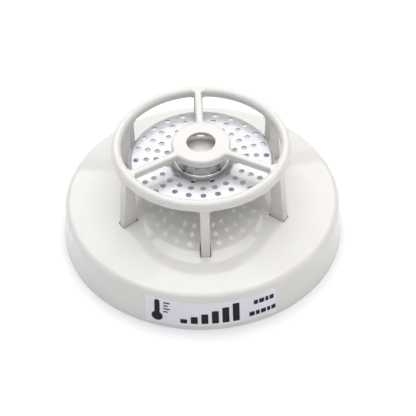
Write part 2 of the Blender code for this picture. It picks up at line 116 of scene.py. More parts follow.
def make_stage():
    mesh = bpy.data.meshes.new("floor")
    bm = bmesh.new()
    bmesh.ops.create_grid(bm, x_segments=1, y_segments=1, size=6.0)
    bm.to_mesh(mesh)
    bm.free()
    floor = bpy.data.objects.new("floor", mesh)
    bpy.context.scene.collection.objects.link(floor)
    floor.location.z = CAD_BOUNDS[0][2]
    mesh.materials.append(plain("floor_paper", (0.88, 0.88, 0.88), 0.9))

    world = bpy.data.worlds.new("studio")
    world.use_nodes = True
    sky = world.node_tree.nodes["Background"]
    sky.inputs["Color"].default_value = (0.995, 0.99, 1.0, 1.0)
    sky.inputs["Strength"].default_value = 0.33
    bpy.context.scene.world = world
    overhead("top_front", 0.0, -0.5, (1.2, 0.8), 2.0)
    overhead("top_middle", 0.0, 0.2, (0.84, 0.4), 3.3)
    overhead("top_back", 0.0, 0.95, (1.6, 1.1), 1.95)
    overhead("top_left", -0.8, 0.0, (0.76, 0.8), 0.6)
    overhead("top_right", 0.9, 0.1, (0.5, 1.0), 0.8)
    low_box("low_back", 90.0, 0.8, (1.0, 1.0, 0.97))
    low_box("low_right", -20.0, 0.9, (0.98, 0.99, 1.0))
    low_box("low_left", 180.0, 0.5, (0.35, 0.55, 1.0))
    bpy.context.scene.view_settings.view_transform = 'Standard'


# ---------------------------------------------------------------- materials

def plain(name, colour, roughness, metallic=0.0):
    mat = bpy.data.materials.new(name)
    mat.use_nodes = True
    shader = mat.node_tree.nodes["Principled BSDF"]
    shader.inputs["Base Color"].default_value = (*colour, 1.0)
    shader.inputs["Roughness"].default_value = roughness
    shader.inputs["Metallic"].default_value = metallic
    return mat


class Surface:
    """A Principled material with procedural colour, roughness and relief added to it."""

    def __init__(self, name, colour, roughness, metallic=0.0):
        self.mat = plain(name, colour, roughness, metallic)
        self.tree = self.mat.node_tree
        self.shader = self.tree.nodes["Principled BSDF"]
        self.colour = colour
        self.roughness = roughness
        self.place = self.tree.nodes.new('ShaderNodeTexCoord').outputs["Object"]

    def link(self, out, into):
        self.tree.links.new(out, into)

    def noise(self, grain, detail=2.0, stretch=(1.0, 1.0, 1.0)):
        """Noise whose features measure about grain millimetres."""
        mapping = self.tree.nodes.new('ShaderNodeMapping')
        mapping.inputs["Scale"].default_value = [s / (grain * MM) for s in stretch]
        self.link(self.place, mapping.inputs["Vector"])
        node = self.tree.nodes.new('ShaderNodeTexNoise')
        node.inputs["Scale"].default_value = 1.0
        node.inputs["Detail"].default_value = detail
        self.link(mapping.outputs["Vector"], node.inputs["Vector"])
        return node.outputs["Fac"]

    def off_axis(self):
        """Distance from the detector's axis, in metres."""
        flat = self.tree.nodes.new('ShaderNodeVectorMath')
        flat.operation = 'MULTIPLY'
        flat.inputs[1].default_value = (1.0, 1.0, 0.0)
        self.link(self.place, flat.inputs[0])
        length = self.tree.nodes.new('ShaderNodeVectorMath')
        length.operation = 'LENGTH'
        self.link(flat.outputs["Vector"], length.inputs[0])
        return length.outputs["Value"]

    def spun(self, grain, detail=3.0):
        """Noise in rings round the detector's axis, as a turned or spun face has."""
        split = self.tree.nodes.new('ShaderNodeSeparateXYZ')
        self.link(self.place, split.inputs["Vector"])
        both = self.tree.nodes.new('ShaderNodeCombineXYZ')
        self.link(self.off_axis(), both.inputs["X"])
        self.link(split.outputs["Z"], both.inputs["Y"])
        scale = self.tree.nodes.new('ShaderNodeVectorMath')
        scale.operation = 'SCALE'
        scale.inputs["Scale"].default_value = 1.0 / (grain * MM)
        self.link(both.outputs["Vector"], scale.inputs[0])
        node = self.tree.nodes.new('ShaderNodeTexNoise')
        node.inputs["Scale"].default_value = 1.0
        node.inputs["Detail"].default_value = detail
        self.link(scale.outputs["Vector"], node.inputs["Vector"])
        return node.outputs["Fac"]

    def beyond(self, radius, width):
        """Rises from 0 to 1 over that width, in millimetres, outside that radius."""
        rescale = self.tree.nodes.new('ShaderNodeMapRange')
        rescale.inputs["From Min"].default_value = radius * MM
        rescale.inputs["From Max"].default_value = (radius + width) * MM
        self.link(self.off_axis(), rescale.inputs["Value"])
        return rescale.outputs["Result"]

    def tint(self, factor, other, low=0.35, high=0.65):
        """Turns the base colour towards another where the factor is high."""
        ramp = self.tree.nodes.new('ShaderNodeValToRGB')
        ramp.color_ramp.elements[0].position = low
        ramp.color_ramp.elements[0].color = (*self.colour, 1.0)
        ramp.color_ramp.elements[1].position = high
        ramp.color_ramp.elements[1].color = (*other, 1.0)
        self.link(factor, ramp.inputs["Fac"])
        self.link(ramp.outputs["Color"], self.shader.inputs["Base Color"])
        return self

    def rough(self, factor, spread):
        """Lets the roughness vary by plus or minus spread."""
        rescale = self.tree.nodes.new('ShaderNodeMapRange')
        rescale.inputs["From Min"].default_value = 0.3
        rescale.inputs["From Max"].default_value = 0.7
        rescale.inputs["To Min"].default_value = self.roughness - spread
        rescale.inputs["To Max"].default_value = self.roughness + spread
        self.link(factor, rescale.inputs["Value"])
        self.link(rescale.outputs["Result"], self.shader.inputs["Roughness"])
        return self

    def relief(self, factor, height):
        """Bump of that height in millimetres."""
        bump = self.tree.nodes.new('ShaderNodeBump')
        bump.inputs["Strength"].default_value = 1.0
        bump.inputs["Distance"].default_value = height * MM
        self.link(factor, bump.inputs["Height"])
        self.link(bump.outputs["Normal"], self.shader.inputs["Normal"])
        return self


def white_plastic():
    s = Surface("white_plastic", (0.655, 0.64, 0.612), 0.065)
    s.tint(s.noise(14.0, 4.0), (0.64, 0.624, 0.596))
    s.rough(s.noise(5.0, 3.0), 0.015)
    s.relief(s.noise(2.5, 1.0), 0.0004)
    s.shader.inputs["IOR"].default_value = 1.53
    return s.mat


def chassis_plastic():
    s = Surface("chassis_plastic", (0.72, 0.71, 0.68), 0.45)
    s.tint(s.noise(9.0, 4.0), (0.69, 0.675, 0.645))
    s.rough(s.noise(0.8, 3.0), 0.07)
    s.relief(s.noise(0.25, 2.0), 0.012)
    return s.mat


def phenolic():
    s = Surface("phenolic", (0.27, 0.225, 0.19), 0.42)
    s.tint(s.noise(0.5, 4.0), (0.33, 0.275, 0.23), 0.5, 0.8)
    s.relief(s.noise(0.3, 2.0), 0.01)
    return s.mat


def ceramic():
    s = Surface("ceramic", (0.75, 0.71, 0.64), 0.55)
    s.tint(s.noise(0.6, 5.0), (0.6, 0.55, 0.47), 0.5, 0.8)
    s.relief(s.noise(0.2, 3.0), 0.012)
    return s.mat


def aluminium():
    """Matt rolled sheet under a thin clear finish."""
    s = Surface("aluminium", (0.53, 0.53, 0.56), 0.52, 1.0)
    s.tint(s.noise(6.0, 4.0), (0.50, 0.50, 0.53))
    s.rough(s.spun(0.35, 4.0), 0.05)
    s.relief(s.spun(0.12, 3.0), 0.0008)
    s.shader.inputs["Coat Weight"].default_value = 1.0
    s.shader.inputs["Coat Roughness"].default_value = 0.11
    s.shader.inputs["Coat IOR"].default_value = 1.8
    return s.mat


def metal(name, colour, roughness, stain, grain=0.2):
    s = Surface(name, colour, roughness, 1.0)
    s.tint(s.noise(2.0, 5.0), stain, 0.4, 0.75)
    s.rough(s.noise(0.7, 4.0), roughness * 0.3)
    s.relief(s.noise(grain, 2.0, (1.0, 6.0, 1.0)), 0.0015)
    return s.mat


def spun_nickel(name, side):
    """Spun finish whose colour turns to the side colour outside 8.35 mm from the axis; on the drawn cap that
    darker outer wall is painted shade under the hub.
    """
    s = Surface(name, (0.80, 0.79, 0.775), 0.13, 1.0)
    # outside 8.35 mm the colour turns to the side colour: painted shade on the drawn cap's outer wall
    s.tint(s.beyond(8.35, 0.3), side)
    s.rough(s.spun(0.3, 3.0), 0.03)
    s.relief(s.spun(0.15, 2.0), 0.0012)
    return s.mat


def dull_nickel():
    s = Surface("dull_nickel", (0.66, 0.625, 0.59), 0.5, 0.4)
    s.tint(s.noise(1.2, 4.0), (0.59, 0.55, 0.51))
    s.relief(s.noise(0.3, 3.0), 0.004)
    return s.mat


def label_film():
    s = Surface("label_film", (0.70, 0.69, 0.755), 0.34)
    s.tint(s.noise(0.35, 2.0), (0.68, 0.67, 0.735))
    s.relief(s.noise(0.2, 2.0), 0.003)
    return s.mat


def label_ink():
    s = Surface("label_ink", (0.010, 0.009, 0.012), 0.5)
    s.shader.inputs["Specular IOR Level"].default_value = 0.15
    s.tint(s.noise(0.2, 3.0), (0.024, 0.022, 0.026), 0.5, 0.7)
    s.relief(s.noise(0.15, 2.0), 0.002)
    return s.mat


# ---------------------------------------------------------------- mesh helpers

def corner_arc(before, corner, after, radius, steps):
    """Points of a fillet at a corner of an outline."""
    p, q, r = (np.array(v, float) for v in (before, corner, after))
    a, b = (p - q) / np.linalg.norm(p - q), (r - q) / np.linalg.norm(r - q)
    half = math.acos(max(-1.0, min(1.0, float(a @ b)))) / 2
    if half > math.pi / 2 - 0.01:
        return [tuple(q)]
    reach = radius / math.tan(half)
    centre = q + (a + b) / np.linalg.norm(a + b) * radius / math.sin(half)
    start, end = q + a * reach - centre, q + b * reach - centre
    sweep = math.pi - 2 * half
    points = []
    for i in range(steps + 1):
        t = i / steps
        mix = (math.sin((1 - t) * sweep) * start + math.sin(t * sweep) * end) / math.sin(sweep)
        points.append(tuple(centre + mix))
    return points


def rounded(corners, steps=5, closed=True):
    """An outline with its corners filleted. A corner is (x, y) or (x, y, fillet radius)."""
    points = []
    count = len(corners)
    for i, corner in enumerate(corners):
        radius = corner[2] if len(corner) > 2 else 0.0
        inside = closed or 0 < i < count - 1
        if radius and inside:
            before, after = corners[i - 1][:2], corners[(i + 1) % count][:2]
            points += corner_arc(before, corner[:2], after, radius, steps)
        else:
            points.append(tuple(corner[:2]))
    return points


def new_object(name, mesh, mat=None, body=HEAD):
    obj = bpy.data.objects.new(name, mesh)
    bpy.context.scene.collection.objects.link(obj)
    if mat:
        mesh.materials.append(mat)
    if body:
        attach(obj, body)
    return obj


def smooth(obj, angle=32.0):
    obj.data.shade_smooth()
    obj.data.set_sharp_from_angle(angle=math.radians(angle))


def lathe_mesh(name, profile, steps=128, closed=True):
    """Quads turned round the Z axis. An open profile may start and end on the axis."""
    angles = np.arange(steps) * 2 * math.pi / steps
    verts, rows = [], []
    for r, z in profile:
        if r < 1e-6:
            rows.append([len(verts)] * steps)
            verts.append((0.0, 0.0, z * MM))
            continue
        rows.append(list(range(len(verts), len(verts) + steps)))
        verts += [(r * math.cos(a) * MM, r * math.sin(a) * MM, z * MM) for a in angles]
    pairs = list(zip(rows, rows[1:] + (rows[:1] if closed else [])))
    if not closed:
        pairs = pairs[:len(rows) - 1]
    faces = []
    for upper, lower in pairs:
        for i in range(steps):
            j = (i + 1) % steps
            ring = [upper[i], lower[i], lower[j], upper[j]]
            face = list(dict.fromkeys(ring))
            if len(face) > 2:
                faces.append(face)
    mesh = bpy.data.meshes.new(name)
    mesh.from_pydata(verts, [], faces)
    mesh.update()
    return mesh


def prism_mesh(name, outline, low, high):
    """An outline in XY that stands from Z low to Z high."""
    mesh = bpy.data.meshes.new(name)
    bm = bmesh.new()
    base = [bm.verts.new((x * MM, y * MM, low * MM)) for x, y in outline]
    face = bm.faces.new(base)
    raised = bmesh.ops.extrude_face_region(bm, geom=[face])
    top = [v for v in raised["geom"] if isinstance(v, bmesh.types.BMVert)]
    bmesh.ops.translate(bm, verts=top, vec=(0.0, 0.0, (high - low) * MM))
    bmesh.ops.recalc_face_normals(bm, faces=bm.faces)
    bm.to_mesh(mesh)
    bm.free()
    return mesh


def joined(name, parts):
    """One mesh from (mesh, matrix) pairs."""
    bm = bmesh.new()
    for mesh, matrix in parts:
        moved = mesh.copy()
        moved.transform(matrix)
        bm.from_mesh(moved)
        bpy.data.meshes.remove(moved)
    result = bpy.data.meshes.new(name)
    bm.to_mesh(result)
    bm.free()
    return result


def modified(obj):
    """The object's mesh with its modifiers applied to it."""
    depsgraph = bpy.context.evaluated_depsgraph_get()
    mesh = bpy.data.meshes.new_from_object(obj.evaluated_get(depsgraph))
    obj.modifiers.clear()
    obj.data = mesh
    return mesh


def cut(obj, cutter_mesh):
    cutter = bpy.data.objects.new("cutter", cutter_mesh)
    bpy.context.scene.collection.objects.link(cutter)
    mod = obj.modifiers.new("Cut", 'BOOLEAN')
    mod.object = cutter
    mod.operation = 'DIFFERENCE'
    mod.solver = 'EXACT'
    modified(obj)
    bpy.data.objects.remove(cutter)


def round_edges(obj, width, segments=3, angle=40.0):
    mod = obj.modifiers.new("Rounded edges", 'BEVEL')
    mod.width = width * MM
    mod.segments = segments
    mod.limit_method = 'ANGLE'
    mod.angle_limit = math.radians(angle)
    mod.harden_normals = False
    modified(obj)


def spin(azimuth):
    return Matrix.Rotation(math.radians(azimuth), 4, 'Z')


def shift(x, y, z=0.0):
    return Matrix.Translation(Vector((x, y, z)) * MM)


def polar(radius, azimuth):
    a = math.radians(azimuth)
    return radius * math.cos(a), radius * math.sin(a)


# ---------------------------------------------------------------- shapes given by a distance field

def smax(a, b, k):
    """Larger of two distances, with the corner rounded over a width of about k."""
    h = np.maximum(k - np.abs(a - b), 0.0) / k
    return np.maximum(a, b) + h * h * k * 0.25


def smin(a, b, k):
    return -smax(-a, -b, k)


def gradient(field, points, step=0.02):
    columns = []
    for axis in range(3):
        offset = np.zeros(3)
        offset[axis] = step
        columns.append((field(points + offset) - field(points - offset)) / (2 * step))
    return np.stack(columns, 1)


def settle(mesh, field, rounds):
    """Moves every vertex onto the field's zero surface."""
    count = len(mesh.vertices)
    co = np.zeros(count * 3)
    mesh.vertices.foreach_get("co", co)
    points = co.reshape(-1, 3) / MM
    for _ in range(rounds):
        slope = gradient(field, points)
        size = np.maximum((slope * slope).sum(1), 0.05)
        step = np.clip(field(points) / size, -0.4, 0.4)
        points = points - slope * step[:, None]
    mesh.vertices.foreach_set("co", (points * MM).ravel())
    mesh.update()
    return points


def field_piece(name, rough_parts, field, voxel, keep, mat, body=HEAD):
    """A fine surface: rough solids are fused by a voxel remesh, then settled on the field."""
    obj = new_object(name, joined(name, rough_parts), mat, body)
    mod = obj.modifiers.new("Fuse", 'REMESH')
    mod.mode = 'VOXEL'
    mod.voxel_size = voxel * MM
    settle(modified(obj), field, 5)
    mod = obj.modifiers.new("Thin out", 'DECIMATE')
    mod.ratio = keep
    points = settle(modified(obj), field, 3)
    normals = gradient(field, points)
    normals /= np.linalg.norm(normals, axis=1)[:, None]
    obj.data.shade_smooth()
    obj.data.normals_split_custom_set_from_vertices([tuple(n) for n in normals])
    if mat and not obj.data.materials:
        obj.data.materials.append(mat)
    return obj


# ---------------------------------------------------------------- cover

COVER_R = 50.0
SKIRT_DRAFT = 0.087
SKIRT_TOP_Z = 13.0
SKIRT_ROUND_R = 2.5
CROWN_SLOPE = 0.178
COVER_WALL = 2.0
LEG_AZIMUTHS = [30.0 + 60.0 * i for i in range(6)]
SLOT_HALF_W = 1.8
SLOT_RADII = (27.2, 33.15)


def skirt_radius(z):
    return COVER_R - SKIRT_DRAFT * z


def crown_height(radius, edge):
    run = edge[0] - radius
    return edge[1] + CROWN_SLOPE * run + 0.0004 * run * run


def cover_outline():
    """Outer line of the cover, from the thermostat's mouth to the back rim."""
    draft, slope = math.atan(SKIRT_DRAFT), math.atan(CROWN_SLOPE)
    centre = skirt_radius(SKIRT_TOP_Z) - SKIRT_ROUND_R / math.cos(draft)
    arc = []
    steps = 16
    for i in range(steps + 1):
        a = math.pi / 2 - slope - (math.pi / 2 - slope - draft) * i / steps
        arc.append((centre + SKIRT_ROUND_R * math.cos(a), SKIRT_TOP_Z + SKIRT_ROUND_R * math.sin(a)))
    radii = list(np.linspace(13.0, SLOT_RADII[0], 16)) + list(np.linspace(*SLOT_RADII, 7))[1:]
    radii += list(np.linspace(SLOT_RADII[1], arc[0][0], 16))[1:-1]
    crown = [(r, crown_height(r, arc[0])) for r in radii]
    mouth = rounded([(9.2, 29.55), (10.2, 29.55, 0.4), (10.7, 22.5, 1.4), crown[0]], 6, False)[:-1]
    skirt = [(skirt_radius(z), z) for z in np.linspace(SKIRT_TOP_Z - 0.6, 0.0, 7)]
    return mouth + crown + arc + skirt


def cover_lines():
    """Grid lines round the cover: degrees, and on a slot how far the line stands across it."""
    lines = []
    for leg in LEG_AZIMUTHS:
        lines += [(leg, share) for share in (-1.0, -0.5, 0.0, 0.5, 1.0)]
        lines += [(leg + a, None) for a in np.linspace(5.4, 54.6, 34)]
    return lines


def inner_outline(outline, wall):
    """The outline moved inwards by the wall, its ends staying level and upright."""
    line = np.array(outline)
    along = np.gradient(line, axis=0)
    normals = np.stack([along[:, 1], -along[:, 0]], 1)
    normals /= np.linalg.norm(normals, axis=1)[:, None]
    normals[0], normals[-1] = (0.0, -1.0), (-1.0, 0.0)
    return line + normals * wall


def make_cover(mat):
    """A grid of two skins whose open cells, the leg slots, are walled all round."""
    outer = cover_outline()
    lines = cover_lines()
    rows, count = len(outer), len(lines)
    verts, faces = [], []
    for line in (outer, inner_outline(outer, COVER_WALL)):
        for (r, z), (reach, _) in zip(line, outer):
            # the lines of a slot keep a constant distance from its middle
            half = math.asin(SLOT_HALF_W / max(reach, SLOT_RADII[0]))
            for azimuth, share in lines:
                a = math.radians(azimuth) + (share or 0.0) * half
                verts.append((r * math.cos(a) * MM, r * math.sin(a) * MM, z * MM))

    def is_open(row, i):
        if not 0 <= row < rows - 1:
            return True
        middle = (outer[row][0] + outer[row + 1][0]) / 2
        j = (i + 1) % count
        return SLOT_RADII[0] < middle < SLOT_RADII[1] and None not in (lines[i][1], lines[j][1])

    inner = rows * count
    for row in range(rows - 1):
        for i in range(count):
            if is_open(row, i):
                continue
            j = (i + 1) % count
            a, b = row * count + i, row * count + j
            c, d = b + count, a + count
            faces += [(a, d, c, b), (b + inner, c + inner, d + inner, a + inner)]
            for start, end, beyond in ((b, a, (row - 1, i)), (d, c, (row + 1, i)),
                                       (a, d, (row, (i - 1) % count)), (c, b, (row, j))):
                if is_open(*beyond):
                    faces.append((start, start + inner, end + inner, end)[::-1])
    mesh = bpy.data.meshes.new("cover_shell")
    mesh.from_pydata(verts, [], faces)
    bm = bmesh.new()
    bm.from_mesh(mesh)
    bmesh.ops.delete(bm, geom=[v for v in bm.verts if not v.link_faces], context='VERTS')
    bmesh.ops.recalc_face_normals(bm, faces=bm.faces)
    bm.to_mesh(mesh)
    bm.free()
    cover = new_object("cover_shell", mesh, mat, HEAD)
    round_edges(cover, 0.18, 3, 50.0)
    smooth(cover, 45.0)
    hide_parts("cover")


# ---------------------------------------------------------------- guard

GUARD_TOP = 40.7
RING_R = 29.3
RING_HALF_W = 1.8
RING_BOTTOM = 37.25
HUB_R = 10.25
HUB_BOTTOM = 37.6
HUB_HOLE_R = 4.9
SPOKE_AZIMUTHS = (90.0, 210.0, 330.0)
HUB_CAVITY_R = 9.5
HUB_CAVITY_TOP = 39.85
SPOKE_TOP = 40.5
SPOKE_BOTTOM = 37.75
SPOKE_END = 28.9
SPOKE_HALF_W = 1.28
LEG_HALF_W = 1.56
LEG_FOOT, LEG_HEAD = 9.3, 38.1


def leg_local(p, azimuth):
    a = math.radians(azimuth)
    along = p[:, 0] * math.cos(a) + p[:, 1] * math.sin(a)
    across = -p[:, 0] * math.sin(a) + p[:, 1] * math.cos(a)
    return along, np.abs(across)


def leg_outer(z):
    return 31.1 + 0.094 * (RING_BOTTOM - z)


def leg_inner(z):
    return 27.55 - 0.008 * (RING_BOTTOM - z)


def flare(distance, radius):
    """How much wider an arm is near its root, for a fillet of that radius."""
    left = np.clip(radius - distance, 0.0, radius)
    return radius - np.sqrt(radius * radius - left * left)


def ring_field(rho, z):
    waist = GUARD_TOP - RING_HALF_W
    below = np.maximum(waist - z, 0.0)
    centre = RING_R + 0.035 * below
    half = RING_HALF_W + 0.035 * below
    tube = np.hypot(rho - centre, np.maximum(z - waist, 0.0)) - half
    return smax(tube, RING_BOTTOM - z, 0.9)


def hub_field(rho, z):
    block = smax(rho - HUB_R, z - GUARD_TOP, 1.1)
    block = smax(block, HUB_BOTTOM - z, 0.5)
    cavity = smax(rho - HUB_CAVITY_R, z - HUB_CAVITY_TOP, 0.8)
    block = smax(block, -cavity, 0.5)
    return smax(block, HUB_HOLE_R - rho, 0.45)


def guard_field(p):
    rho = np.hypot(p[:, 0], p[:, 1])
    z = p[:, 2]
    body = np.minimum(ring_field(rho, z), hub_field(rho, z))
    for azimuth in SPOKE_AZIMUTHS:
        along, across = leg_local(p, azimuth)
        width = SPOKE_HALF_W + flare(27.5 - rho, 1.1) + flare(rho - HUB_R, 1.0)
        spoke = smax(across - width, z - SPOKE_TOP, 1.0)
        spoke = smax(spoke, SPOKE_BOTTOM - z, 0.5)
        spoke = smax(spoke, 9.75 - along, 0.3)
        spoke = smax(spoke, along - SPOKE_END, 0.3)
        body = smin(body, spoke, 0.35)
    for azimuth in LEG_AZIMUTHS:
        along, across = leg_local(p, azimuth)
        width = LEG_HALF_W + 0.004 * (z - 18.0) + flare(RING_BOTTOM - z, 0.9)
        leg = smax(across - width, along - leg_outer(z), 0.55)
        leg = smax(leg, leg_inner(z) - along, 0.55)
        leg = smax(leg, LEG_FOOT - z, 0.4)
        leg = smax(leg, z - LEG_HEAD, 0.4)
        body = smin(body, leg, 0.35)
    return body


def make_guard(mat):
    top = GUARD_TOP - 0.5
    ring = rounded([(27.5, top), (31.1, top), (31.2, RING_BOTTOM), (27.5, RING_BOTTOM)])
    hub = [(HUB_HOLE_R, GUARD_TOP), (HUB_R - 0.4, GUARD_TOP), (HUB_R, GUARD_TOP - 0.4),
           (HUB_R, HUB_BOTTOM), (HUB_CAVITY_R, HUB_BOTTOM),
           (HUB_CAVITY_R, HUB_CAVITY_TOP), (HUB_HOLE_R, HUB_CAVITY_TOP)]
    still = Matrix.Identity(4)
    rough = [(lathe_mesh("ring", ring, 180), still), (lathe_mesh("hub", hub, 96), still)]
    upright = Matrix.Rotation(math.radians(90.0), 4, 'X')
    for azimuth in LEG_AZIMUTHS:
        outline = [(leg_inner(z), z) for z in (LEG_HEAD, LEG_FOOT)]
        outline += [(leg_outer(z), z) for z in (LEG_FOOT, LEG_HEAD)]
        rough.append((prism_mesh("leg", outline, -1.55, 1.55), spin(azimuth) @ upright))
    for azimuth in SPOKE_AZIMUTHS:
        outline = [(9.8, SPOKE_BOTTOM), (SPOKE_END, SPOKE_BOTTOM), (SPOKE_END, SPOKE_TOP), (9.8, SPOKE_TOP)]
        rough.append((prism_mesh("spoke", outline, -1.25, 1.25), spin(azimuth) @ upright))
    guard = field_piece("guard_moulding", rough, guard_field, 0.3, 0.35, mat, HEAD)
    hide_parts("cage_guard")


# ---------------------------------------------------------------- collector plate

PLATE_R = 25.33
PLATE_BORE_R = 7.75
PLATE_Z = 33.38
PLATE_T = 0.45
SINK_R, SINK_DEPTH = 10.8, 0.6
DROOP_R = 17.0
ROLL_R = 24.05
PERF_R = 1.0
PERF_ROWS = ((22.65, 1), (19.13, 1), (15.68, 1), (12.13, 2))
PERF_LINES = 24
PIP = (8.75, -8.75, 0.75, 0.2)      # a pressed pip beside the collar: x, y, radius, height


def plate_height(rho):
    """Upper face: flat field, a slightly sunk ring round the collar and a rolled rim."""
    sink = SINK_DEPTH / (1.0 + np.exp((rho - SINK_R) / 0.42))
    droop = np.clip((rho - DROOP_R) / (PLATE_R - DROOP_R), 0.0, 1.0)
    roll = np.clip((rho - ROLL_R) / (PLATE_R - ROLL_R), 0.0, 1.0)
    return PLATE_Z - sink - 0.42 * droop ** 2 - 0.85 * (1.0 - np.sqrt(1.0 - (0.985 * roll) ** 2))


def perforations():
    spots = []
    for radius, every in PERF_ROWS:
        for line in range(0, PERF_LINES, every):
            spots.append(polar(radius, 90.0 + 360.0 / PERF_LINES * (line + every - 1)))
    return spots


def circle(x, y, radius, count):
    return [(x + radius * math.cos(2 * math.pi * i / count), y + radius * math.sin(2 * math.pi * i / count))
            for i in range(count)]


def even_normals(mesh):
    """Gives the two faces of the sheet the normals of the pressed shape."""
    step = 0.02
    normals = []
    for poly in mesh.polygons:
        up = poly.normal.z
        for index in poly.vertices:
            x, y = mesh.vertices[index].co.x / MM, mesh.vertices[index].co.y / MM
            rho = math.hypot(x, y)
            near_pip = math.hypot(x - PIP[0], y - PIP[1]) < PIP[2] * 1.3
            if abs(up) < 0.75 or rho > PLATE_R - 0.35 or near_pip:
                normals.append((0.0, 0.0, 0.0))
                continue
            slope = (plate_height(rho + step) - plate_height(rho - step)) / (2 * step)
            side = math.copysign(1.0, up)
            normals.append(tuple(Vector((-slope * x / rho, -slope * y / rho, 1.0)).normalized() * side))
    mesh.normals_split_custom_set(normals)


def make_collector_plate(mat):
    """The sheet is laid out flat, with its holes, and then pressed to its shape."""
    points, edges = [], []

    def loop(ring, constrain):
        first = len(points)
        points.extend(ring)
        if constrain:
            edges.extend((first + i, first + (i + 1) % len(ring)) for i in range(len(ring)))

    holes = perforations()
    loop(circle(0, 0, PLATE_R, 240), True)
    loop(circle(0, 0, PLATE_BORE_R, 96), True)
    for x, y in holes:
        loop(circle(x, y, PERF_R, 24), True)
        loop(circle(x, y, PERF_R + 0.22, 24), False)
    for share in (0.2, 0.4, 0.6, 0.8, 1.0, 1.2):
        loop(circle(PIP[0], PIP[1], PIP[2] * share, 20), False)
    for radius in (25.27, 25.15, 24.95, 24.7, 24.4, ROLL_R):
        loop(circle(0, 0, radius, 200), False)
    for radius in (8.8, 9.4, 9.9, 10.3, 10.7, 11.02):
        loop(circle(0, 0, radius, 110), False)
    centres = np.array(holes)
    for radius in np.arange(11.6, 23.9, 0.62):
        for x, y in circle(0, 0, radius, int(radius * 9)):
            if np.hypot(centres[:, 0] - x, centres[:, 1] - y).min() > PERF_R + 0.42:
                points.append((x, y))
    verts, _, faces, *_ = delaunay_2d_cdt([Vector(p) for p in points], edges, [], 0, 1e-5)
    xy = np.array([tuple(v) for v in verts])
    kept = []
    for face in faces:
        x, y = xy[list(face)].mean(0)
        rho = math.hypot(x, y)
        clear = np.hypot(centres[:, 0] - x, centres[:, 1] - y).min() > PERF_R * 0.98
        if PLATE_BORE_R < rho < PLATE_R and clear:
            kept.append(face)
    rho = np.hypot(xy[:, 0], xy[:, 1])
    away = np.hypot(xy[:, 0] - PIP[0], xy[:, 1] - PIP[1]) / PIP[2]
    height = plate_height(rho) + PIP[3] * np.clip(1.0 - away ** 2, 0.0, 1.0) ** 2
    mesh = bpy.data.meshes.new("perforated_plate")
    mesh.from_pydata([(x * MM, y * MM, z * MM) for (x, y), z in zip(xy, height)], [], kept)
    mesh.update()
    bm = bmesh.new()
    bm.from_mesh(mesh)
    bmesh.ops.delete(bm, geom=[v for v in bm.verts if not v.link_faces], context='VERTS')
    bmesh.ops.recalc_face_normals(bm, faces=bm.faces)
    if sum(f.normal.z for f in bm.faces) < 0:
        bmesh.ops.reverse_faces(bm, faces=bm.faces)
    bm.to_mesh(mesh)
    bm.free()
    plate = new_object("perforated_plate", mesh, mat, HEAD)
    solid = plate.modifiers.new("Sheet", 'SOLIDIFY')
    solid.thickness = PLATE_T * MM
    solid.offset = -1.0
    modified(plate)
    round_edges(plate, 0.09, 2, 60.0)
    smooth(plate, 50.0)
    even_normals(plate.data)
    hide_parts("collector_plate")


# ---------------------------------------------------------------- sensor

CAP_R = 8.8
CAP_TOP = 38.0
CAP_WELL_R = 6.4
CAP_WELL_Z = 36.6


def make_sensor(nickel, shaded_wall_nickel, dull):
    inside = CAP_R - 0.5
    profile = [(0.0, CAP_WELL_Z)] + rounded([
        (0.0, CAP_WELL_Z), (CAP_WELL_R, CAP_WELL_Z, 0.1), (6.8, CAP_TOP, 0.3), (CAP_R, CAP_TOP, 0.6),
        (CAP_R, 32.6, 0.1), (inside, 32.6, 0.1), (inside, CAP_TOP - 0.5, 0.2), (7.3, CAP_TOP - 0.5, 0.2),
        (CAP_WELL_R + 0.4, CAP_WELL_Z - 0.5, 0.2), (0.0, CAP_WELL_Z - 0.5)], 6, False)
    mesh = lathe_mesh("drawn_cap", profile, 160, False)
    # the cap's outer wall is darkened in its material: painted shade under the hub
    cap = new_object("drawn_cap", mesh, shaded_wall_nickel, HEAD)
    smooth(cap, 40.0)
    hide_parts("sensor_cap")

    floor = rounded([(0.0, CAP_WELL_Z + 0.06), (CAP_WELL_R - 0.12, CAP_WELL_Z + 0.06, 0.05),
                     (CAP_WELL_R - 0.12, CAP_WELL_Z - 0.05), (0.0, CAP_WELL_Z - 0.05)], 3, False)
    pad = new_object("well_floor", lathe_mesh("well_floor", floor, 96, False), dull, HEAD)
    smooth(pad, 40.0)

    bead = rounded([(8.82, 33.3, 0.12), (9.58, 33.3, 0.42), (9.58, 32.5, 0.2), (8.82, 32.5, 0.1)], 8)
    collar = new_object("spun_collar", lathe_mesh("spun_collar", bead, 160), nickel, HEAD)
    smooth(collar, 50.0)
    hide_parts("clamp_collar")


def make_thermostat(mat):
    flange, bore, outer = 9.4, 6.6, 8.6
    profile = rounded([
        (bore, 31.55, 0.15), (flange, 31.55, 0.3), (flange, 30.5, 0.3), (outer, 30.1, 0.4), (outer, 9.3, 0.3),
        (bore, 9.3, 0.2), (bore, 24.5, 0.5), (1.3, 25.2, 0.1), (1.3, 28.6, 0.1), (bore, 28.6, 0.3)], 4)
    mesh = lathe_mesh("thermostat_moulding", profile, 96)
    body = new_object("thermostat_moulding", mesh, mat, HEAD)
    smooth(body, 40.0)
    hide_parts("thermostat_body")


def make_bimetal(mat):
    """A shallow sprung dome that flattens as it pushes the pin."""
    radius, rim, crown, thickness = 7.2, 33.0, 0.7, 0.35
    top = [(radius * i / 20, rim + thickness + crown * (1 - (i / 20) ** 2)) for i in range(21)]
    profile = top + [(r, z - thickness) for r, z in top[::-1]]
    disc = new_object("bimetal_dome", lathe_mesh("bimetal_dome", profile, 72, False), mat, HEAD)
    smooth(disc, 40.0)
    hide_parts("bimetal_disc")
    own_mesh(disc)


# ---------------------------------------------------------------- label

LABEL_AZIMUTH = -88.7
LABEL_ARC = 53.2
LABEL_Z = (1.3, 13.0)
LABEL_GAP = 0.02
FILM_T = 0.12
INK_T = 0.03


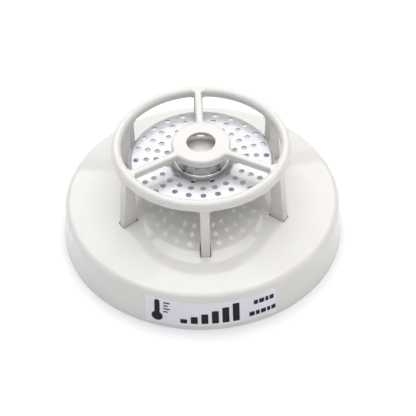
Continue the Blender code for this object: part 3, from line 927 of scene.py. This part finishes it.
def wrap_on_skirt(mesh, lift):
    """Bends a flat XY layout, in label millimetres, round the skirt."""
    middle = (LABEL_Z[0] + LABEL_Z[1]) / 2
    for vert in mesh.vertices:
        x, y, out = (c / MM for c in vert.co)
        z = middle + y
        radius = skirt_radius(z) + lift + out
        a = math.radians(LABEL_AZIMUTH) + x / skirt_radius(middle)
        vert.co = Vector((radius * math.cos(a), radius * math.sin(a), z)) * MM
    mesh.update()


def flat_mark(outline, thickness, cell=0.7):
    """A flat piece laid out in XY and meshed finely enough to bend."""
    xs = [x for x, _ in outline]
    ys = [y for _, y in outline]
    points = list(outline)
    edges = [(i, (i + 1) % len(outline)) for i in range(len(outline))]
    for x in np.arange(math.floor(min(xs)), max(xs), cell):
        for y in np.arange(math.floor(min(ys)), max(ys), cell):
            points.append((x, y))
    verts, _, faces, *_ = delaunay_2d_cdt([Vector(p) for p in points], edges, [], 0, 1e-4)
    ring = np.array(outline)
    kept = []
    for face in faces:
        middle = np.mean([tuple(verts[i]) for i in face], axis=0)
        if inside_outline(middle, ring):
            kept.append(face)
    mesh = bpy.data.meshes.new("mark")
    mesh.from_pydata([(v.x * MM, v.y * MM, 0.0) for v in verts], [], kept)
    bm = bmesh.new()
    bm.from_mesh(mesh)
    bmesh.ops.delete(bm, geom=[v for v in bm.verts if not v.link_faces], context='VERTS')
    bmesh.ops.recalc_face_normals(bm, faces=bm.faces)
    if sum(f.normal.z for f in bm.faces) < 0:
        bmesh.ops.reverse_faces(bm, faces=bm.faces)
    raised = bmesh.ops.extrude_face_region(bm, geom=list(bm.faces))
    top = [v for v in raised["geom"] if isinstance(v, bmesh.types.BMVert)]
    bmesh.ops.translate(bm, verts=top, vec=(0.0, 0.0, thickness * MM))
    bmesh.ops.recalc_face_normals(bm, faces=bm.faces)
    bm.to_mesh(mesh)
    bm.free()
    return mesh


def inside_outline(point, ring):
    x, y = point
    a, b = ring, np.roll(ring, -1, axis=0)
    spans = (a[:, 1] > y) != (b[:, 1] > y)
    safe = np.where(b[:, 1] == a[:, 1], 1e-9, b[:, 1] - a[:, 1])
    cross = x < (b[:, 0] - a[:, 0]) * (y - a[:, 1]) / safe + a[:, 0]
    return bool(np.count_nonzero(spans & cross) % 2)


def box_outline(x0, y0, x1, y1, radius=0.15):
    return rounded([(x0, y0, radius), (x1, y0, radius), (x1, y1, radius), (x0, y1, radius)], 3)


def thermometer_outline(x, y):
    """A thermometer standing on its bulb."""
    bulb, stem, length = 2.0, 0.95, 6.6
    start = math.asin(stem / bulb)
    points = []
    for i in range(25):
        a = math.pi / 2 + start + (2 * math.pi - 2 * start) * i / 24
        points.append((x + bulb * math.cos(a), y + bulb * math.sin(a)))
    for i in range(9):
        a = math.pi * i / 8
        points.append((x + stem * math.cos(a), y + length + stem * math.sin(a)))
    return points


def label_marks():
    """Generic dark marks: a thermometer with its scale, a rising row of bars and two rows of dashes."""
    marks = [thermometer_outline(-18.6, -2.5)]
    for i in range(4):
        y = -0.3 + 1.35 * i
        marks.append(box_outline(-16.4, y, -14.8 + 0.7 * (i % 2), y + 0.55, 0.1))
    for i in range(6):
        x = -10.6 + 3.55 * i
        marks.append(box_outline(x, -4.2, x + 2.35, -2.3 + 1.25 * i, 0.3))
    for x0, y0, widths in ((14.6, 1.3, (1.5, 1.9, 1.2, 1.6)), (12.9, -3.6, (1.9, 1.4, 1.9, 1.2, 1.7))):
        for width in widths:
            marks.append(box_outline(x0, y0, x0 + width, y0 + 1.9, 0.2))
            x0 += width + 0.42
    return marks


def make_label(film_mat, ink_mat):
    half_w = math.radians(LABEL_ARC) * skirt_radius(sum(LABEL_Z) / 2) / 2
    half_h = (LABEL_Z[1] - LABEL_Z[0]) / 2
    band = flat_mark(box_outline(-half_w, -half_h, half_w, half_h, 0.25), FILM_T)
    wrap_on_skirt(band, LABEL_GAP)
    film = new_object("label_band", band, film_mat, HEAD)
    smooth(film, 40.0)
    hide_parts("rating_label")
    still = Matrix.Identity(4)
    ink = joined("label_marks", [(flat_mark(outline, INK_T), still) for outline in label_marks()])
    wrap_on_skirt(ink, LABEL_GAP + FILM_T + 0.005)
    marks = new_object("label_marks", ink, ink_mat, HEAD)
    smooth(marks, 40.0)


# ---------------------------------------------------------------- back of the head

CHASSIS_R = 46.4
CHASSIS_BACK, CHASSIS_FRONT = 6.5, 9.0
TERMINAL_AZIMUTHS = (60.0, 120.0, 240.0, 300.0)
TERMINAL_R = 21.0
TERMINAL_W = 7.0
FIXED_X, PIVOT_X = 3.9, -4.4
GUARD_SCREWS = (30.4, (30.0, 150.0, 270.0))     # radius, azimuths
COVER_SCREWS = (41.5, (0.0, 120.0, 240.0))


def drills(holes, low, high):
    """One cutter for holes given as (x, y, radius)."""
    parts = [prism_mesh("drill", circle(x, y, radius, 28), low, high) for x, y, radius in holes]
    return joined("drills", [(part, Matrix.Identity(4)) for part in parts])


def make_chassis(mat):
    back, front = CHASSIS_BACK, CHASSIS_FRONT
    lip = CHASSIS_R - 1.6
    profile = [(0.0, front)] + rounded([
        (0.0, front), (CHASSIS_R, front, 0.6), (CHASSIS_R, 1.2, 0.5), (lip, 1.2, 0.5), (lip, back, 0.8),
        (36.4, back, 0.3), (36.4, back - 0.9, 0.25), (35.4, back - 0.9, 0.25), (35.4, back, 0.3),
        (0.0, back)], 5, False)
    mesh = lathe_mesh("back_plate", profile, 192, False)
    chassis = new_object("back_plate", mesh, mat, HEAD)
    holes = []
    for azimuth in TERMINAL_AZIMUTHS:
        holes.append((*polar(TERMINAL_R, azimuth), 1.15))
    for radius, azimuths in (COVER_SCREWS, GUARD_SCREWS):
        holes += [(*polar(radius, azimuth), 1.2) for azimuth in azimuths]
    for x in (FIXED_X, PIVOT_X):
        holes.append((x, 0.0, 1.3))
    cut(chassis, drills(holes, 4.0, 12.0))
    bosses = []
    for azimuth in TERMINAL_AZIMUTHS:
        tube = rounded([(3.0, 13.9, 0.3), (3.0, 8.6), (1.15, 8.6), (1.15, 13.9, 0.2)], 4)
        bosses.append((lathe_mesh("boss", tube[::-1], 40), shift(*polar(TERMINAL_R, azimuth))))
    smooth(chassis, 40.0)
    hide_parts("chassis")
    boss = new_object("terminal_bosses", joined("terminal_bosses", bosses), mat, HEAD)
    smooth(boss, 40.0)


def strip_piece(name, outline, low, high, holes, edge, mat, node):
    piece = new_object(name, prism_mesh(name, outline, low, high), mat, HEAD)
    cut(piece, drills(holes, low - 1.0, high + 1.0))
    round_edges(piece, edge, 2)
    smooth(piece, 40.0)
    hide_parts(node)


def make_bus_bars(mat):
    low, high = CHASSIS_BACK - 1.0, CHASSIS_BACK - 0.3
    width = 5.0
    for node, post_x, azimuth in (("bus_bar_a", PIVOT_X, 120.0), ("bus_bar_b", FIXED_X, 60.0)):
        end = Vector(polar(TERMINAL_R, azimuth))
        along = (end - Vector((post_x, 0.0))).normalized()
        across = Vector((along.y, -along.x)) * width / 2
        tip = end + along * width / 2
        edge = width / 2 / abs(along.y)
        half = [(post_x + edge, 0.0, 1.0), (*(tip + across), 0.6),
                (*(tip - across), 0.6), (post_x - edge, 0.0, 1.0)]
        lower = [(x, -y, r) for x, y, r in half[2:0:-1]]
        holes = [(post_x, 0.0, 1.2), (end.x, end.y, 1.15), (end.x, -end.y, 1.15)]
        outline = rounded(half + lower, 5)
        strip_piece(f"{node}_strip", outline, low, high, holes, 0.08, mat, node)


def terminal_outline():
    """Side view of a twist-lock terminal: seat, step down and blade with a turned-up lead-in."""
    seat, blade, t = CHASSIS_BACK - 1.3, 2.9, 0.8
    return rounded([
        (-3.6, seat, 0.1), (-3.6, seat - t, 0.1), (3.4, seat - t, 0.4), (4.6, blade - t, 0.9),
        (12.0, blade - t, 1.0), (13.2, blade - t + 0.5, 0.1), (13.0, blade + 0.25, 0.1), (11.9, blade, 0.4),
        (5.2, blade, 0.4), (4.0, seat, 0.9)], 5)


def make_terminals(mat):
    upright = Matrix.Rotation(math.radians(90.0), 4, 'X')
    for i, azimuth in enumerate(TERMINAL_AZIMUTHS, 1):
        x, y = polar(TERMINAL_R, azimuth)
        place = shift(x, y) @ spin(azimuth + 90.0) @ upright
        half = TERMINAL_W / 2
        mesh = joined(f"terminal_{i}_strip", [(prism_mesh("strip", terminal_outline(), -half, half), place)])
        piece = new_object(f"terminal_{i}_strip", mesh, mat, HEAD)
        cut(piece, prism_mesh("drill", circle(x, y, 1.5, 32), 3.6, 6.2))
        round_edges(piece, 0.1, 2, 60.0)
        smooth(piece, 40.0)
        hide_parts(f"terminal_{i}")


def screw_mesh(name, seat, head_r, shank_r, length, turn):
    """Pan-head screw with a cross recess, its head below the seat, pointing up."""
    low = seat - 1.4
    profile = [(0.0, seat + length)] + rounded([
        (0.0, seat + length), (shank_r - 0.35, seat + length), (shank_r, seat + length - 0.9),
        (shank_r, seat),
        (head_r, seat, 0.15), (head_r, low + 0.25, 0.5), (head_r - 0.8, low, 0.6), (0.0, low)], 6, False)
    pan = bpy.data.objects.new(name, lathe_mesh(name, profile, 48, False))
    bpy.context.scene.collection.objects.link(pan)
    arm, half = head_r * 0.62, head_r * 0.13
    bar = [(-arm, -half), (arm, -half), (arm, half), (-arm, half)]
    for angle in (turn, turn + 90.0):
        blade = joined("recess", [(prism_mesh("bar", bar, low - 1.0, low + 0.75), spin(angle))])
        cut(pan, blade)
    mesh = pan.data
    bpy.data.objects.remove(pan)
    return mesh


def make_screws(mat):
    back = CHASSIS_BACK
    sets = (("terminal_screw", TERMINAL_R, TERMINAL_AZIMUTHS, back - 2.25, 2.6, 0.95, 7.8),
            ("guard_screw", *GUARD_SCREWS, back - 0.15, 2.1, 0.8, 9.2),
            ("cover_screw", *COVER_SCREWS, back - 0.15, 2.1, 0.85, 7.4))
    for family, radius, azimuths, seat, head_r, shank_r, length in sets:
        for i, azimuth in enumerate(azimuths, 1):
            node = f"{family}_{i}"
            mesh = screw_mesh(f"{node}_pan_head", seat, head_r, shank_r, length, 17.0 + 31.0 * i)
            mesh.transform(shift(*polar(radius, azimuth)))
            piece = new_object(f"{node}_pan_head", mesh, mat, HEAD)
            smooth(piece, 35.0)
            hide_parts(node)


# ---------------------------------------------------------------- inner pieces kept from the CAD

def dress_cad(finishes):
    """Inner pieces keep their CAD shape and get a worked material."""
    for mat, names in finishes:
        for name in names:
            obj = NODES[name]
            obj.data.materials.clear()
            obj.data.materials.append(mat)


def main():
    make_camera()
    make_stage()
    white = white_plastic()
    nickel = spun_nickel("nickel_plate", (0.74, 0.725, 0.70))
    brass = metal("brass", (0.75, 0.58, 0.28), 0.28, (0.6, 0.43, 0.2))
    silver = metal("silver", (0.85, 0.84, 0.82), 0.3, (0.7, 0.68, 0.65))
    bronze = metal("bronze", (0.72, 0.5, 0.3), 0.35, (0.58, 0.38, 0.22))
    bimetal = metal("bimetal", (0.55, 0.45, 0.36), 0.3, (0.42, 0.34, 0.28))
    zinc = metal("zinc_steel", (0.62, 0.62, 0.63), 0.32, (0.5, 0.5, 0.52))
    dark = phenolic()
    pale = ceramic()
    make_cover(white)
    make_guard(white)
    make_collector_plate(aluminium())
    # the second nickel's dark outer colour is painted shade on the cap's wall under the hub
    make_sensor(nickel, spun_nickel("nickel_painted_wall_shade", (0.40, 0.395, 0.385)), dull_nickel())
    make_thermostat(dark)
    make_bimetal(bimetal)
    make_label(label_film(), label_ink())
    make_chassis(chassis_plastic())
    make_bus_bars(brass)
    make_terminals(nickel)
    make_screws(zinc)
    dress_cad(((brass, ("arm_post", "fixed_post", "arm_rivet")),
               (silver, ("moving_contact", "fixed_contact")),
               (bronze, ("contact_arm",)),
               (dark, ("switch_base",)),
               (pale, ("disc_seat", "transfer_pin"))))


main()
